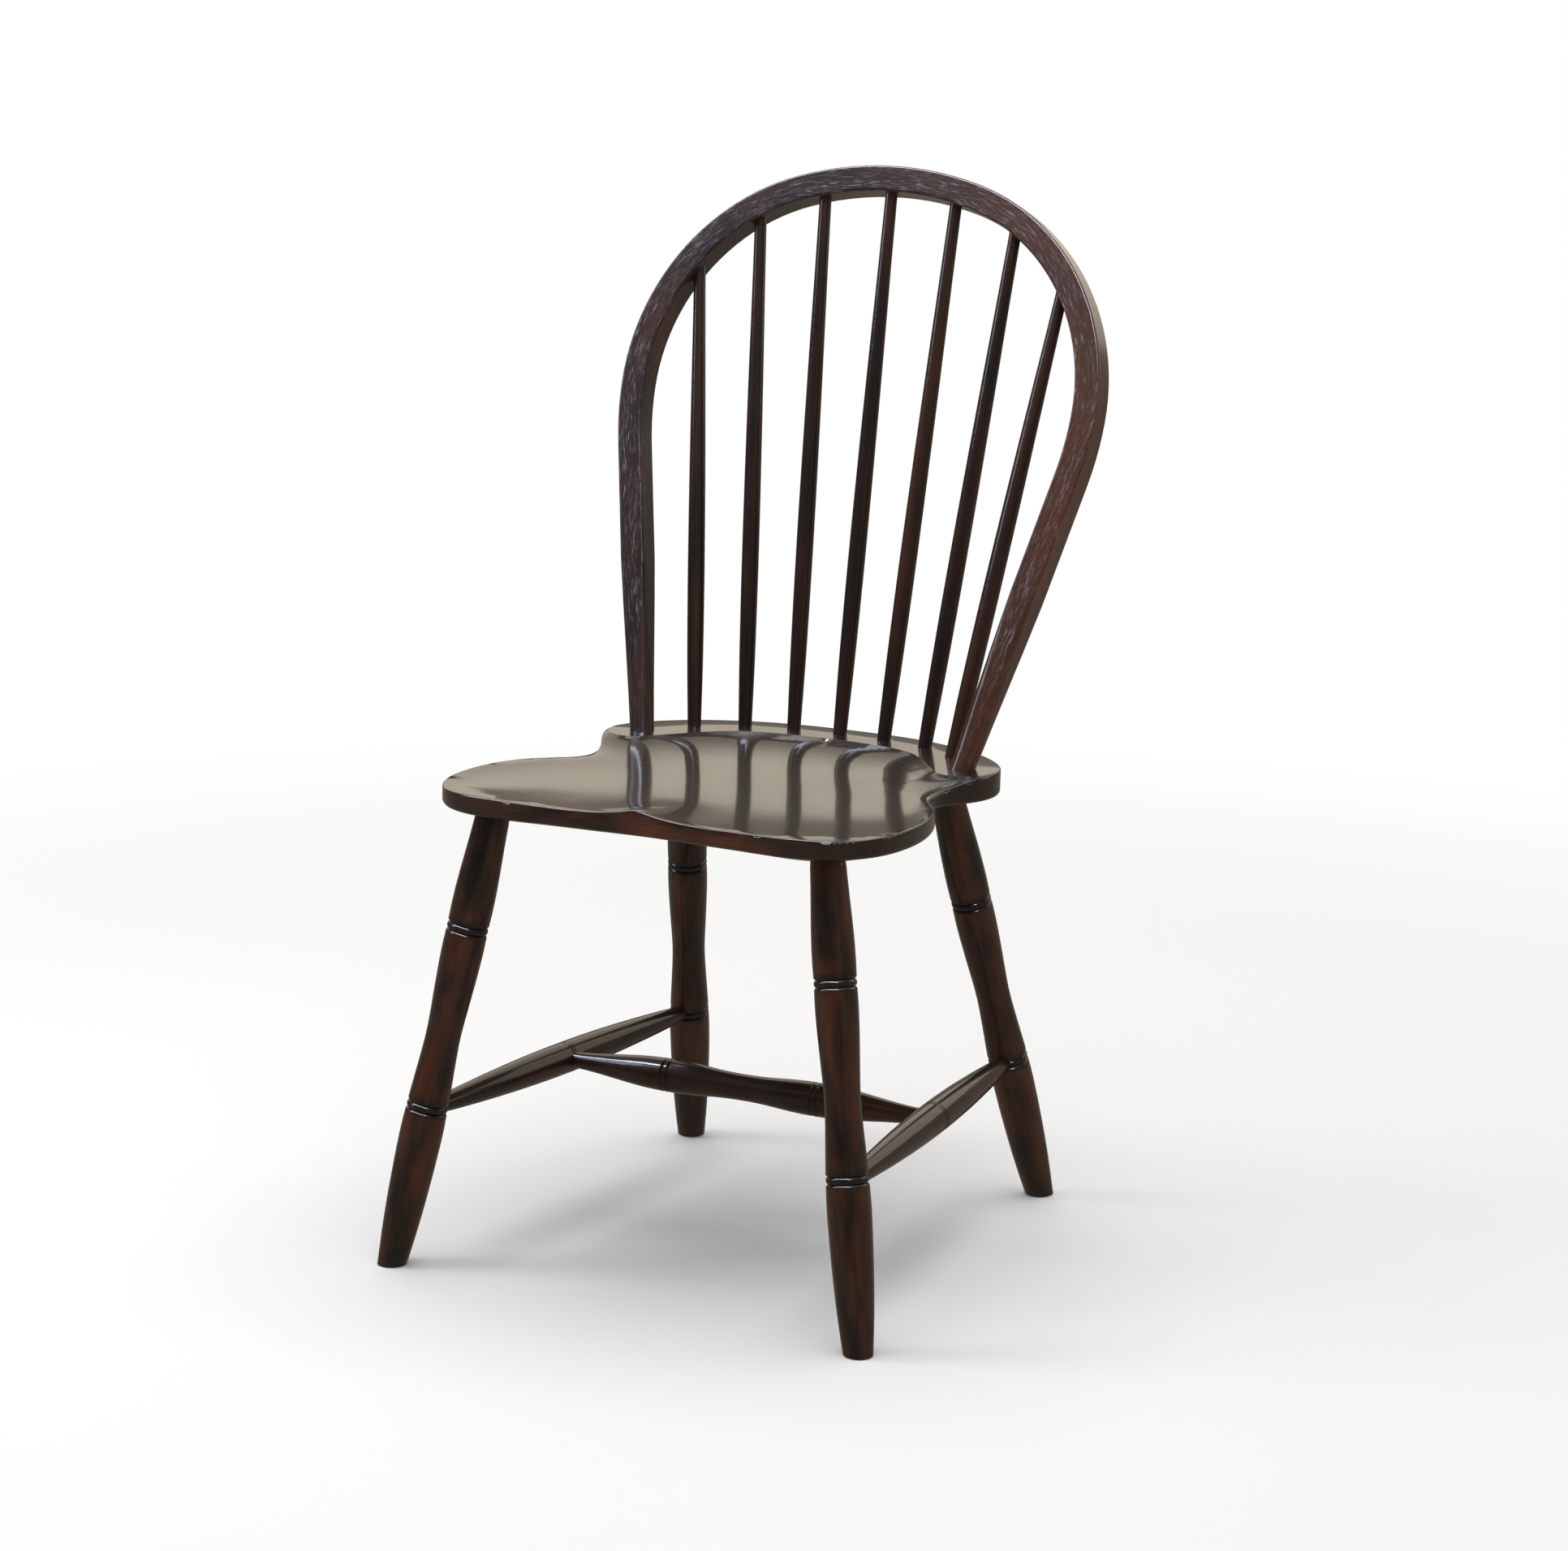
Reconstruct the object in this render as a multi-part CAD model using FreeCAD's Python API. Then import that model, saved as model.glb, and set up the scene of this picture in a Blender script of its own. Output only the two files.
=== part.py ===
import FreeCAD, Part
import os
from math import acos, atan2, copysign, cos, exp, hypot, radians, sin, tan

V = FreeCAD.Vector
Turn = FreeCAD.Rotation
Place = FreeCAD.Placement
UP = V(0, 0, 1)
ORIGIN = V(0, 0, 0)

# A hoop-backed Windsor side chair, in mm. X is across, the sitter faces -Y, Z is up from the floor.
# Left and right are as seen by someone who stands in front of the chair.

# Glue joints
glue_gap = 0.1
end_gap = 0.5
tool_reach = 30

# Seat board
seat_height = 450
seat_thickness = 32
seat_tilt = 0.7
seat_width = 459
notch_width = 360
deck_width = 408
front_edge = -231
widest_line = -140
notch_line = 21
deck_line = 96
back_edge = 204.7
band_height = 19.5
lower_round = 5
underside_slope = 15

# Saddle, as depths below the plane of the deck
dish_depth = 14
rim_depth = 6
notch_depth = 5.5
well_depth = 7.4
pommel_spread = 21.5
pommel_reach = 50
deck_fall = 22
side_roll = 34
front_roll = 75
front_rim_inset = 4
notch_spread = 40
notch_roll_depth = 6.5
notch_roll_width = 14
notch_roll_spread = 58
well_place = 75
well_spread = 55
well_reach = 60
pommel_power = 1.3
saddle_x_step = 5
saddle_y_step = 6
saddle_margin = 14

# Hoop of the back
bow_foot_inset = 34
bow_foot_line = 94.1
bow_rise = 552
bow_lean = 19.13
crown_radius = 322.7
crown_angle = 16.6
shoulder_radius = 204.9
shoulder_angle = 91.3
waist_radius = 307
bow_radial = 24.8
bow_depth = 27
bow_corner = 2.2
bow_foot_diameter = 23.5
bow_taper_share = 0.593
bow_round_height = 8
bow_tenon = 22

# Spindles, from the middle one outwards
spindle_foot_shares = (0, 0.285, 0.568, 0.811)
spindle_setbacks = (24.8, 27.4, 37.4, 64.5)
spindle_top_angles = (0, 12.9, 31.8, 55.4)
spindle_foot_diameter = 13.2
spindle_belly_diameter = 16.4
spindle_top_diameter = 11.6
spindle_foot_tenon = 11
spindle_top_tenon = 15
spindle_foot_lead = 3
spindle_top_lead = 9

# Legs, with the angles of their axes from upright
front_leg_from_side = 59.5
front_leg_from_front = 51.3
front_splay = 9.467
front_rake = -8.755
back_leg_from_side = 64.9
back_leg_from_back = 78
back_splay = 7.491
back_rake = 15.894
leg_foot_diameter = 26.2
leg_swell_diameter = 39.5
leg_upper_swell_diameter = 38.5
leg_waist_diameter = 32.1
leg_neck_diameter = 31.5
leg_tenon_tip = 27.5
leg_socket_floor = 5
lower_ring = 153
upper_ring = 324
ring_groove_diameter = 34.3
ring_bead_diameter = 38.1
ring_bead_width = 6.7
ring_shoulder_width = 3.3
ring_shoulder_run = 0.3
ring_shoulder_rise = 0.7
foot_chamfer = 1

# Stretchers
stretcher_drop = 3.5
side_tip_diameter = 16
side_belly_diameter = 30.4
side_tenon = 24
side_tip_lead = 3
side_groove_width = 1.8
side_groove_depth = 0.6
side_groove_pitch = 3.8
cross_tip_diameter = 15.5
cross_belly_diameter = 31.8
cross_middle_diameter = 24.9
cross_tenon = 18
cross_ring_place = 79
cross_groove_width = 3.3
cross_groove_depth = 1.1
cross_groove_pitch = 6


# Turned work: profiles are chains of edges, with X as radius and Z as distance along the axis

def profile_spline(rows):
    """A smooth edge through (distance, diameter) rows."""
    curve = Part.BSplineCurve()
    curve.interpolate([V(diameter / 2, 0, distance) for distance, diameter in rows])
    return curve.toShape()


def profile_line(start, end):
    return Part.LineSegment(V(start[1] / 2, 0, start[0]), V(end[1] / 2, 0, end[0])).toShape()


def profile_arc(start, middle, end):
    points = [V(diameter / 2, 0, distance) for distance, diameter in (start, middle, end)]
    return Part.Arc(*points).toShape()


def end_row(edge, last=True):
    """The (distance, diameter) at an end of a profile edge."""
    point = edge.Vertexes[-1 if last else 0].Point
    return (point.z, 2 * point.x)


def turned(edges, start, direction):
    """The solid that a profile sweeps about its axis, with the axis laid from start along direction."""
    bottom, top = end_row(edges[0], False), end_row(edges[-1])
    closing = [
        profile_line(top, (top[0], 0)),
        profile_line((top[0], 0), (bottom[0], 0)),
        profile_line((bottom[0], 0), bottom),
    ]
    face = Part.Face(Part.Wire(edges + closing))
    solid = face.revolve(ORIGIN, UP, 360)
    solid.Placement = Place(start, Turn(UP, direction))
    return Part.Solid(solid) if solid.ShapeType != "Solid" else solid


def round_tool(start, direction, length, diameter, end_diameter=None):
    """A cylinder or a cone from start along direction, for boring a socket."""
    if end_diameter is None:
        return Part.makeCylinder(diameter / 2, length, start, direction)
    return Part.makeCone(diameter / 2, end_diameter / 2, length, start, direction)


def single(shape):
    """The one solid that a cut or a fusion leaves."""
    assert len(shape.Solids) == 1, f"{len(shape.Solids)} solids where one was meant"
    return shape.Solids[0]


def mirrored(shape):
    return shape.mirror(ORIGIN, V(1, 0, 0))


# The seat's board is made level, with its deck at Z = 0, then tilted about the line of the hoop's feet

def on_chair(x, y, z=0):
    """A point of the level board, as it lies on the chair."""
    tilt = Turn(V(1, 0, 0), -seat_tilt)
    return V(0, bow_foot_line, seat_height) + tilt.multVec(V(x, y - bow_foot_line, z))


half_seat = seat_width / 2
half_notch = notch_width / 2
half_deck = deck_width / 2
bow_foot_x = half_deck - bow_foot_inset


def smooth_outline(points, ends_in_middle=True):
    """A curve through points that starts square to the middle of the seat, and may end so too."""
    overlap = 5
    before = [V(-p.x, p.y, p.z) for p in points[overlap:0:-1]]
    after = [V(-p.x, p.y, p.z) for p in points[-2:-2 - overlap:-1]] if ends_in_middle else []
    curve = Part.BSplineCurve()
    curve.interpolate(before + points + after)
    knots = curve.getKnots()
    curve.segment(knots[overlap], knots[-1 - overlap] if ends_in_middle else knots[-1])
    return curve


def seat_outline():
    """The right half of the board's outline, from the middle of its back to the middle of its front."""
    points = [
        (0, back_edge),
        (64, back_edge - 3.7),
        (114, back_edge - 17.4),
        (half_deck - 46.5, back_edge - 41),
        (half_deck - 21.5, deck_line + 45),
        (half_deck - 5, deck_line + 20.5),
        (half_deck, deck_line),
        (half_deck - 2, deck_line - 18),
        (half_notch + 15, notch_line + 39),
        (half_notch + 6.5, notch_line + 22.5),
        (half_notch, notch_line),
        (half_notch + 4, notch_line - 25),
        (half_notch + 17, notch_line - 47),
        (half_seat - 17, widest_line + 87),
        (half_seat - 3.5, widest_line + 45),
        (half_seat, widest_line),
        (half_seat - 4.5, widest_line - 32),
        (half_seat - 14.5, front_edge + 36),
        (half_seat - 31.5, front_edge + 17),
        (half_seat - 64.5, front_edge + 2.5),
        (110, front_edge + 2.5),
        (57, front_edge + 5.5),
        (0, front_edge + 8.5),
    ]
    return smooth_outline([V(x, y, 0) for x, y in points])


def half_section(outline, inset, height):
    """The closed edge of the board's right half at a height, drawn in from the outline by inset."""
    points = []
    for knot in outline.getKnots():
        along = outline.tangent(knot)[0]
        points.append(outline.value(knot) + V(along.y, -along.x, 0) * inset + V(0, 0, height))
    points[0].x = points[-1].x = 0
    curve = smooth_outline(points)
    closing = Part.LineSegment(curve.EndPoint, curve.StartPoint)
    return Part.Wire([curve.toShape(), closing.toShape()])


def deck_arris():
    """The crisp line where the deck ends and the saddle falls away, carried on past the board's side."""
    foot_x, foot_y = bow_foot_x, bow_foot_line
    points = [
        (0, back_edge - 50.2),
        (50, back_edge - 53.5),
        (94, back_edge - 67.2),
        (foot_x - 47, foot_y + 15),
        (foot_x - 23, foot_y - 16.6),
        (foot_x - 9, foot_y - 31.2),
        (foot_x + 4.5, foot_y - 33.7),
        (foot_x + 17, foot_y - 29.3),
        (foot_x + 27.4, foot_y - 17.9),
        (foot_x + 32.5, foot_y + 0.6),
        (foot_x + 38, foot_y + 24),
        (foot_x + 58, foot_y + 82),
    ]
    return smooth_outline([V(x, y, 0) for x, y in points], False)


def side_of_board(outline):
    """The board's half width at any Y between the deck's corner and its widest line."""
    steps = 800
    span = outline.LastParameter - outline.FirstParameter
    points = [outline.value(outline.FirstParameter + span * i / steps) for i in range(steps + 1)]
    side = [p for p in points if widest_line <= p.y <= deck_line and p.x > half_notch - 5]

    def half_width(y):
        if y <= side[-1].y:
            return half_seat
        if y >= side[0].y:
            return side[0].x
        for a, b in zip(side, side[1:]):
            if b.y <= y <= a.y:
                return a.x + (b.x - a.x) * (a.y - y) / max(a.y - b.y, 1e-9)

    return half_width


def settled(distance, reach):
    """Goes from 0 towards 1 as distance grows past reach, and towards -1 the other way."""
    return copysign(1 - exp(-abs(distance) / reach), distance)


def bell(distance, spread):
    """Falls from 1 towards 0 as distance grows to either side."""
    return exp(-(distance / spread) ** 2)


def shoulder(distance, width):
    """A rounded fall towards an edge: 0 well inside it, 1 at it, and more outside it."""
    return exp(-distance / width) if distance > 0 else 1 - distance / width


def right_of(curve, x, y):
    """How far a point lies to the right of a curve for someone who walks along it from its start."""
    point = V(x, y, 0)
    near = curve.parameter(point)
    offset = point - curve.value(near)
    along = curve.tangent(near)[0]
    return -copysign(offset.Length, along.x * offset.y - along.y * offset.x)


def saddle_depth(x, y, outline, arris, half_width):
    """How far the saddle lies below the deck's plane; above it behind the arris."""
    ahead = right_of(arris, x, y)
    from_front = y - (front_edge + front_rim_inset)
    inside_front = max(from_front, 0)
    rim = rim_depth - (rim_depth - notch_depth) * bell(y - notch_line, notch_spread)
    rim += (well_depth - rim_depth) * bell(x - well_place, well_spread) * bell(inside_front, well_reach)
    rise = settled(half_width(y) - x, side_roll) * max(settled(from_front, front_roll), 0)
    pommel = rim * exp(-(x / pommel_spread) ** pommel_power) * bell(inside_front, pommel_reach)
    at_notch = bell(y - notch_line, notch_roll_spread)
    roll = notch_roll_depth * at_notch * shoulder(right_of(outline, x, y), notch_roll_width)
    return settled(ahead, deck_fall) * (rim + (dish_depth - rim) * rise - pommel + roll)


def saddle_cutter(outline):
    """What is scooped out of the board's right half: all above a surface through points of saddle_depth."""
    arris = deck_arris()
    half_width = side_of_board(outline)
    x_count = int((half_seat + saddle_margin) / saddle_x_step) + 1
    y_start = front_edge - saddle_margin
    y_count = int((arris.StartPoint.y + saddle_margin - y_start) / saddle_y_step) + 1
    xs = [saddle_x_step * i for i in range(x_count)]
    ys = [y_start + saddle_y_step * j for j in range(y_count)]
    heights = [[-saddle_depth(x, y, outline, arris, half_width) for y in ys] for x in xs]
    surface = Part.BSplineSurface()
    surface.interpolate(heights, xs[0], saddle_x_step, ys[0], saddle_y_step)
    return surface.toShape().extrude(UP * 2 * seat_thickness)


def underside_rows():
    """How far the board's lower half is drawn in at each height: rounded, then sloped to its flat."""
    steps = 3
    last_turn = radians(90 - underside_slope)
    turns = [last_turn * i / steps for i in range(steps + 1)]
    rows = [(lower_round * (1 - cos(a)), -band_height - lower_round * sin(a)) for a in turns]
    inset, height = rows[-1]
    return rows, (inset + (seat_thickness + height) * tan(last_turn), -seat_thickness)


def half_board():
    outline = seat_outline()
    rounded, flat = underside_rows()
    band = Part.Face(half_section(outline, 0, -band_height)).extrude(V(0, 0, band_height))
    soft = Part.makeLoft([half_section(outline, *row) for row in rounded], True, False)
    slope = Part.makeLoft([half_section(outline, *row) for row in (rounded[-1], flat)], True, True)
    half = single(band.fuse([soft, slope]))
    return single(half.cut(saddle_cutter(outline)))


# Hoop of the back, drawn in its own leaning plane: across, and up the slope from the deck

def bow_place(across, up_slope):
    lean = radians(bow_lean)
    return V(across, bow_foot_line + up_slope * sin(lean), seat_height + up_slope * cos(lean))


bow_normal = V(0, cos(radians(bow_lean)), -sin(radians(bow_lean)))


def bow_arcs():
    """Centre, radius, first and last angle from upright of the right half's arcs, from the crown down."""
    crown = (0, bow_rise - crown_radius)
    a, b = radians(crown_angle), radians(shoulder_angle)
    change = crown_radius - shoulder_radius
    shoulder = (crown[0] + change * sin(a), crown[1] + change * cos(a))
    change = shoulder_radius - waist_radius
    waist = (shoulder[0] + change * sin(b), shoulder[1] + change * cos(b))
    reach_x, reach_s = bow_foot_x - waist[0], -waist[1]
    c = atan2(reach_x, reach_s) - acos(waist_radius / hypot(reach_x, reach_s))
    return [(crown, crown_radius, 0, a), (shoulder, shoulder_radius, a, b), (waist, waist_radius, b, c)]


def on_arc(arc, angle, inward=0):
    (x, s), radius = arc[:2]
    return (x + (radius - inward) * sin(angle), s + (radius - inward) * cos(angle))


bow_straight_top = on_arc(bow_arcs()[-1], bow_arcs()[-1][3])
bow_taper_start = bow_taper_share * bow_straight_top[1]


def bow_point(angle, inward=0):
    """A point of the hoop at an angle from upright, drawn in from its centre line."""
    arc = next(arc for arc in bow_arcs() if angle <= arc[3])
    return on_arc(arc, angle, inward)


def bow_leg_place(up_slope):
    """The point of the hoop's straight right leg at a height up the slope."""
    top = bow_straight_top
    return (bow_foot_x + (top[0] - bow_foot_x) * up_slope / top[1], up_slope)


def bow_section(centre, along, radial, depth, corner):
    """A rounded rectangle across the hoop, radial by depth."""
    along = FreeCAD.Vector(along).normalize()
    outward = along.cross(bow_normal).normalize()
    edges = []
    corners = [(1, 1), (-1, 1), (-1, -1), (1, -1)]

    def at(u, w):
        return centre + outward * u + bow_normal * w

    half_u, half_w = radial / 2, depth / 2
    inner_u, inner_w = half_u - corner, half_w - corner
    slant = corner * sin(radians(45))
    for i, (u, w) in enumerate(corners):
        next_u, next_w = corners[(i + 1) % 4]
        side_first = u * w > 0
        start = (half_u * u, inner_w * w) if side_first else (inner_u * u, half_w * w)
        end = (inner_u * u, half_w * w) if side_first else (half_u * u, inner_w * w)
        middle = ((inner_u + slant) * u, (inner_w + slant) * w)
        edges.append(Part.Arc(at(*start), at(*middle), at(*end)).toShape())
        next_u_place, next_w_place = (inner_u, half_w) if side_first else (half_u, inner_w)
        next_start = (next_u_place * next_u, next_w_place * next_w)
        edges.append(Part.LineSegment(at(*end), at(*next_start)).toShape())
    return Part.Wire(edges)


def bow_foot(side):
    """One straight end of the hoop, from where it starts to thin down to the end of its tenon."""
    top, foot = bow_place(*bow_leg_place(bow_taper_start)), bow_place(*bow_leg_place(0))
    top.x, foot.x = side * top.x, side * foot.x
    along = (top - foot).normalize()
    round_corner = bow_foot_diameter / 2 - 0.05
    sections = []
    steps = 4
    for i in range(steps + 1):
        share = i / steps
        eased = share * share * (3 - 2 * share)
        up_slope = bow_taper_start + (bow_round_height - bow_taper_start) * share
        place = bow_place(*bow_leg_place(up_slope))
        place.x = side * place.x
        radial = bow_radial + (bow_foot_diameter - bow_radial) * eased
        depth = bow_depth + (bow_foot_diameter - bow_depth) * eased
        corner = bow_corner + (round_corner - bow_corner) * share
        sections.append(bow_section(place, along, radial, depth, corner))
    taper = Part.makeLoft(sections, True, False)
    end = foot - along * bow_tenon
    length = (place - end).Length
    tenon = Part.Face(sections[-1]).extrude(along * -length)
    return taper.fuse(tenon)


def bow_path():
    """The hoop's centre line between the places where its two ends start to thin down."""
    right = []
    for arc in bow_arcs()[::-1]:
        angles = (arc[3], (arc[2] + arc[3]) / 2, arc[2])
        right.append([bow_place(*on_arc(arc, angle)) for angle in angles])
    crown = right.pop()
    left = [[V(-p.x, p.y, p.z) for p in points[::-1]] for points in right[::-1]]
    crown_points = [crown[0], crown[2], V(-crown[0].x, crown[0].y, crown[0].z)]
    start = bow_place(*bow_leg_place(bow_taper_start))
    edges = [Part.LineSegment(start, right[0][0]).toShape()]
    edges += [Part.Arc(*points).toShape() for points in right + [crown_points] + left]
    edges.append(Part.LineSegment(left[-1][-1], V(-start.x, start.y, start.z)).toShape())
    return Part.Wire(edges), start, (right[0][0] - start).normalize()


def bow():
    path, start, along = bow_path()
    section = bow_section(start, along, bow_radial, bow_depth, bow_corner)
    hoop = path.makePipeShell([section], True, False)
    return single(hoop.fuse([bow_foot(1), bow_foot(-1)]))


def bow_sockets():
    """What the two ends of the hoop need bored in the seat."""
    foot = bow_place(*bow_leg_place(0))
    along = (bow_place(*bow_leg_place(bow_taper_start)) - foot).normalize()
    tools = []
    for side in (1, -1):
        start = foot - along * (bow_tenon + end_gap)
        direction = V(side * along.x, along.y, along.z)
        start.x *= side
        tools.append(round_tool(start, direction, bow_tenon + tool_reach, bow_foot_diameter + 2 * glue_gap))
    return tools


# Spindles, numbered from the left as seen from the front

spindle_shape = ((0.065, 0.34), (0.125, 0.66), (0.184, 0.84), (0.275, 1))
spindle_upper_shape = ((0.455, 0.96), (0.6, 0.77), (0.757, 0.46), (0.847, 0.25))


def spindle_axes():
    axes = []
    places = list(zip(spindle_foot_shares, spindle_setbacks, spindle_top_angles))
    for side, rows in ((-1, places[:0:-1]), (1, places)):
        for share, setback, angle in rows:
            foot = on_chair(side * share * bow_foot_x, back_edge - setback)
            across, up_slope = bow_point(radians(angle), bow_radial / 2)
            axes.append((foot, bow_place(side * across, up_slope)))
    return axes


def spindle(foot, top):
    length = (top - foot).Length
    low = spindle_belly_diameter - spindle_foot_diameter
    high = spindle_belly_diameter - spindle_top_diameter
    rows = [(spindle_foot_lead, spindle_foot_diameter)]
    rows += [(share * length, spindle_foot_diameter + low * part) for share, part in spindle_shape]
    rows += [(share * length, spindle_top_diameter + high * part) for share, part in spindle_upper_shape]
    rows.append((length - spindle_top_lead, spindle_top_diameter))
    bottom = (-spindle_foot_tenon, spindle_foot_diameter)
    end = (length + spindle_top_tenon, spindle_top_diameter)
    edges = [profile_line(bottom, rows[0]), profile_spline(rows), profile_line(rows[-1], end)]
    return turned(edges, foot, top - foot)


def spindle_sockets(foot, top):
    """The borings for one spindle: the seat's, then the hoop's."""
    along = (top - foot).normalize()
    low_start = foot - along * (spindle_foot_tenon + end_gap)
    low_bore = spindle_foot_diameter + 2 * glue_gap
    low = round_tool(low_start, along, spindle_foot_tenon + tool_reach, low_bore)
    high_start = top + along * (spindle_top_tenon + end_gap)
    high_bore = spindle_top_diameter + 2 * glue_gap
    high = round_tool(high_start, along * -1, spindle_top_tenon + tool_reach, high_bore)
    return low, high


# Legs, all four of one turning up to their necks

def tangent(angle):
    return tan(radians(angle))


def leg_axes():
    """Foot on the floor, centre of the socket's mouth, and name of each leg."""
    axes = {}
    front_x, front_y = half_seat - front_leg_from_side, front_edge + front_leg_from_front
    back_x, back_y = half_deck - back_leg_from_side, back_edge - back_leg_from_back
    pairs = {
        "front": (front_x, front_y, front_splay, front_rake),
        "back": (back_x, back_y, back_splay, back_rake),
    }
    for end, (x, y, splay, rake) in pairs.items():
        for side, word in ((-1, "left"), (1, "right")):
            mouth = on_chair(side * x, y, -seat_thickness)
            foot = mouth + V(side * tangent(splay), tangent(rake), 0) * mouth.z
            foot.z = 0
            axes[f"{end}_{word}"] = (foot, mouth)
    return axes


leg_tenon = seat_thickness - spindle_foot_tenon - leg_socket_floor
foot_swell_shape = (
    (0, 0.03), (0.16, 0.34), (0.34, 0.62), (0.54, 0.83), (0.76, 0.97), (0.89, 1), (1, 0.93),
)
waist_shape = (
    (0, 0.88), (0.12, 0.57), (0.26, 0.2), (0.4, 0), (0.57, 0.32), (0.75, 0.75), (0.89, 0.98), (1, 0.94),
)
neck_shape = ((0, 0.94), (0.1, 1), (0.36, 0.86), (0.67, 0.4), (0.93, 0.08))


def turned_length(start, end, thin, thick, shape):
    """A profile edge between two distances, whose rows say how far it has got and how thick it is there."""
    length, growth = end - start, thick - thin
    return profile_spline([(start + length * along, thin + growth * part) for along, part in shape])


def ring(centre, below, above):
    """A half-round bead between two grooves, with the rounded shoulders below and above it."""
    groove, half_bead = ring_groove_diameter, ring_bead_width / 2
    low, high = centre - half_bead, centre + half_bead
    run = ring_shoulder_run * ring_shoulder_width
    return [
        profile_arc(below, (low - run, groove + ring_shoulder_rise * (below[1] - groove)), (low, groove)),
        profile_arc((low, groove), (centre, ring_bead_diameter), (high, groove)),
        profile_arc((high, groove), (high + run, groove + ring_shoulder_rise * (above[1] - groove)), above),
    ]


def leg(foot, mouth):
    length = (mouth - foot).Length
    half_ring = ring_bead_width / 2 + ring_shoulder_width
    widest = leg_swell_diameter
    lower = turned_length(0, lower_ring - half_ring, leg_foot_diameter, widest, foot_swell_shape)
    swell = leg_upper_swell_diameter
    low, high = lower_ring + half_ring, upper_ring - half_ring
    middle = turned_length(low, high, leg_waist_diameter, swell, waist_shape)
    upper = turned_length(upper_ring + half_ring, length, leg_neck_diameter, swell, neck_shape)
    neck = end_row(upper)
    start = (-tool_reach, leg_foot_diameter)
    edges = [profile_line(start, end_row(lower, False)), lower]
    edges += ring(lower_ring, end_row(lower), end_row(middle, False)) + [middle]
    edges += ring(upper_ring, end_row(middle), end_row(upper, False)) + [upper]
    edges.append(profile_line(neck, (length + leg_tenon, leg_tenon_tip)))
    blank = turned(edges, foot, mouth - foot)
    size = 4 * tool_reach
    floor = Part.makeBox(size, size, size, foot - V(size / 2, size / 2, size))
    cut = single(blank.cut(floor))
    rim = [e for e in cut.Edges if e.BoundBox.ZMax < 0.01]
    return single(cut.makeChamfer(foot_chamfer, rim))


def leg_socket(foot, mouth):
    along = (mouth - foot).normalize()
    slope = (leg_neck_diameter - leg_tenon_tip) / leg_tenon
    below, above = tool_reach / 2, leg_tenon + end_gap
    wide = leg_neck_diameter + slope * below + 2 * glue_gap
    narrow = leg_neck_diameter - slope * above + 2 * glue_gap
    return round_tool(mouth - along * below, along, below + above, wide, narrow)


# Stretchers, which form an H between the legs

def stretcher_place(foot, mouth):
    """Where a side stretcher's axis meets a leg's."""
    return foot + (mouth - foot).normalize() * (lower_ring - stretcher_drop)


def groove(centre, width, depth, diameter):
    """A V cut round a turning."""
    low, bottom, high = centre - width / 2, centre, centre + width / 2
    return [
        profile_line((low, diameter), (bottom, diameter - 2 * depth)),
        profile_line((bottom, diameter - 2 * depth), (high, diameter)),
    ]


def double_groove(centre, width, depth, pitch, diameter):
    first, second = centre - pitch / 2, centre + pitch / 2
    land = profile_line((first + width / 2, diameter), (second - width / 2, diameter))
    return groove(first, width, depth, diameter) + [land] + groove(second, width, depth, diameter)


leg_skin = leg_swell_diameter / 2
side_swell_shape = ((0, 0), (0.2, 0.35), (0.4, 0.62), (0.6, 0.83), (0.8, 0.96), (1, 1))


def side_stretcher(front, back):
    length = (back - front).Length
    middle = length / 2
    half_rings = (side_groove_pitch + side_groove_width) / 2
    tip, belly = side_tip_diameter, side_belly_diameter
    start = leg_skin + side_tip_lead
    low = turned_length(start, middle - half_rings, tip, belly, side_swell_shape)
    falling_shape = [(1 - along, part) for along, part in side_swell_shape[::-1]]
    high = turned_length(middle + half_rings, length - start, tip, belly, falling_shape)
    reach = side_tenon - leg_skin
    rings = double_groove(middle, side_groove_width, side_groove_depth, side_groove_pitch, belly)
    edges = [profile_line((-reach, tip), end_row(low, False)), low]
    edges += rings + [high, profile_line(end_row(high), (length + reach, tip))]
    return turned(edges, front, back - front)


def side_sockets(front, back):
    """The borings in the front and the back leg for a side stretcher."""
    along = (back - front).normalize()
    reach = side_tenon - leg_skin + end_gap
    bore = side_tip_diameter + 2 * glue_gap
    front_tool = round_tool(front - along * reach, along, reach + tool_reach, bore)
    back_tool = round_tool(back + along * reach, along * -1, reach + tool_reach, bore)
    return front_tool, back_tool


cross_middle_shape = ((0, 0), (0.2, 0.07), (0.4, 0.3), (0.56, 0.58), (0.78, 0.88), (1, 1))
cross_tip_shape = (
    (0, 1), (0.1, 0.955), (0.21, 0.89), (0.4, 0.69), (0.59, 0.43), (0.74, 0.235), (0.85, 0.115), (1, 0),
)


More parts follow.
